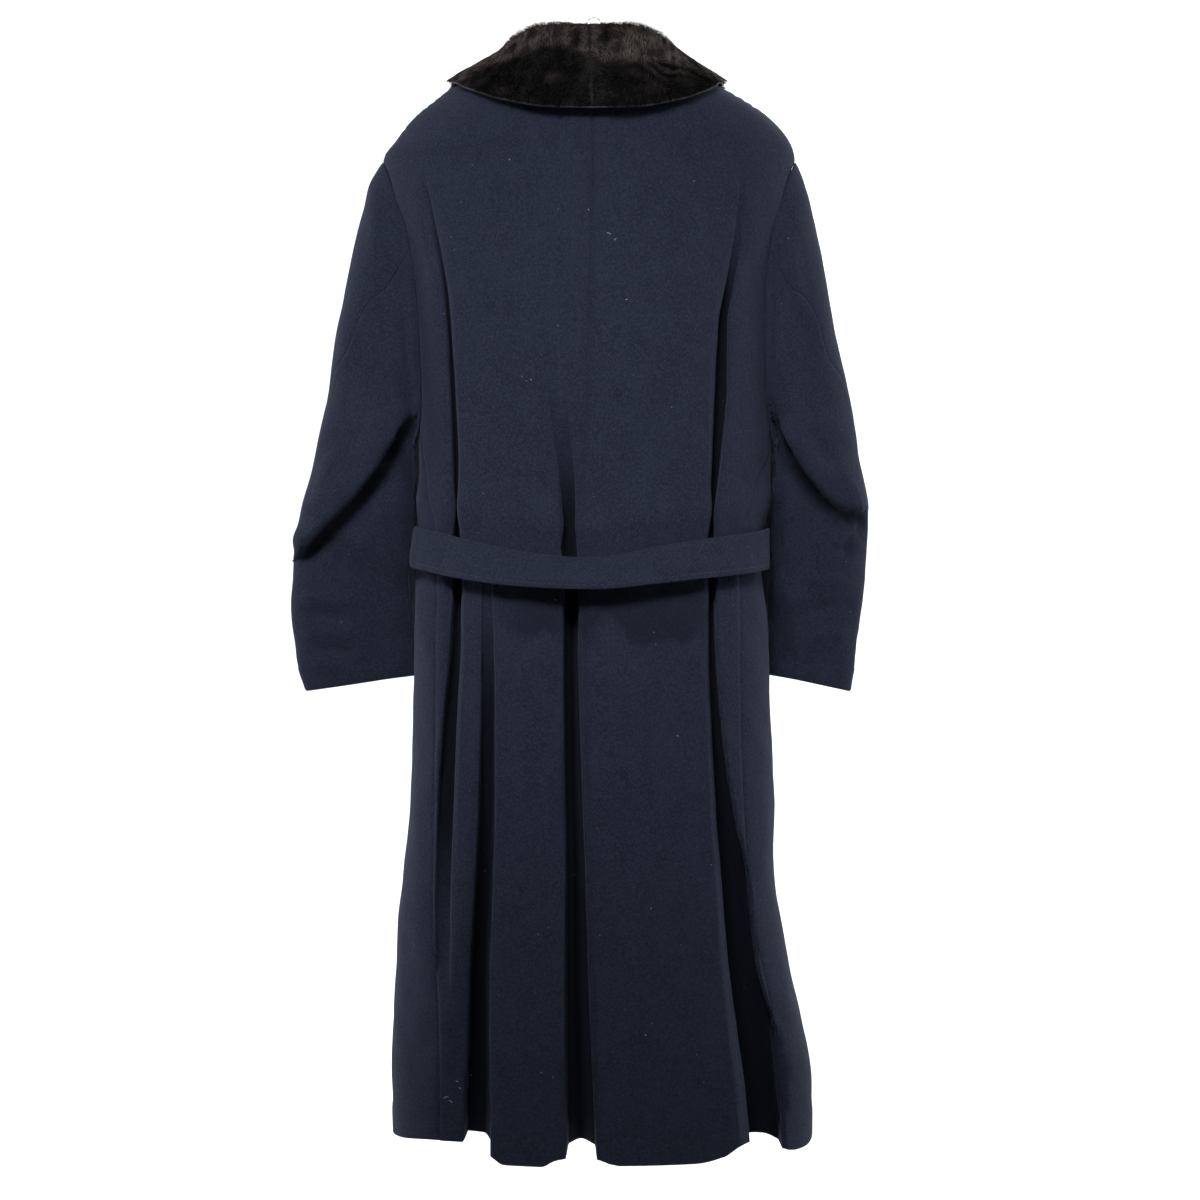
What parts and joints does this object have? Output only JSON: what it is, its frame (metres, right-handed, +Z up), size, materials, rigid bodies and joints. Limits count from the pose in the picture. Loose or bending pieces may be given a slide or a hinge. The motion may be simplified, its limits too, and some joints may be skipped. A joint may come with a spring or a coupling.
{
  "type": "balmacaan coat",
  "caption": "Long belted wool coat with a wide turned-over fur collar, set-in sleeves and deep skirt folds, hollow and filled out as if worn.",
  "frame": {"origin": "middle of the neck opening, level with the foot of the collar at the sides", "axes": "+Z up the coat from hem to collar; +Y out of the coat's back; +X towards the wearer's left sleeve"},
  "size_m": [0.6424, 0.2922, 1.207],
  "materials": {
    "wool": "brushed navy wool melton",
    "fur": "short dark pile fur",
    "steel": "bright small links"
  },
  "bodies": {
    "root": {"back_left": "wool", "back_right": "wool", "front_left": "wool", "front_right": "wool", "sleeve_left_top": "wool", "sleeve_left_under": "wool", "sleeve_right_top": "wool", "sleeve_right_under": "wool", "belt": "wool", "under_collar": "wool", "fur_collar": "fur", "hanging_chain": "steel"}
  },
  "joints": []
}
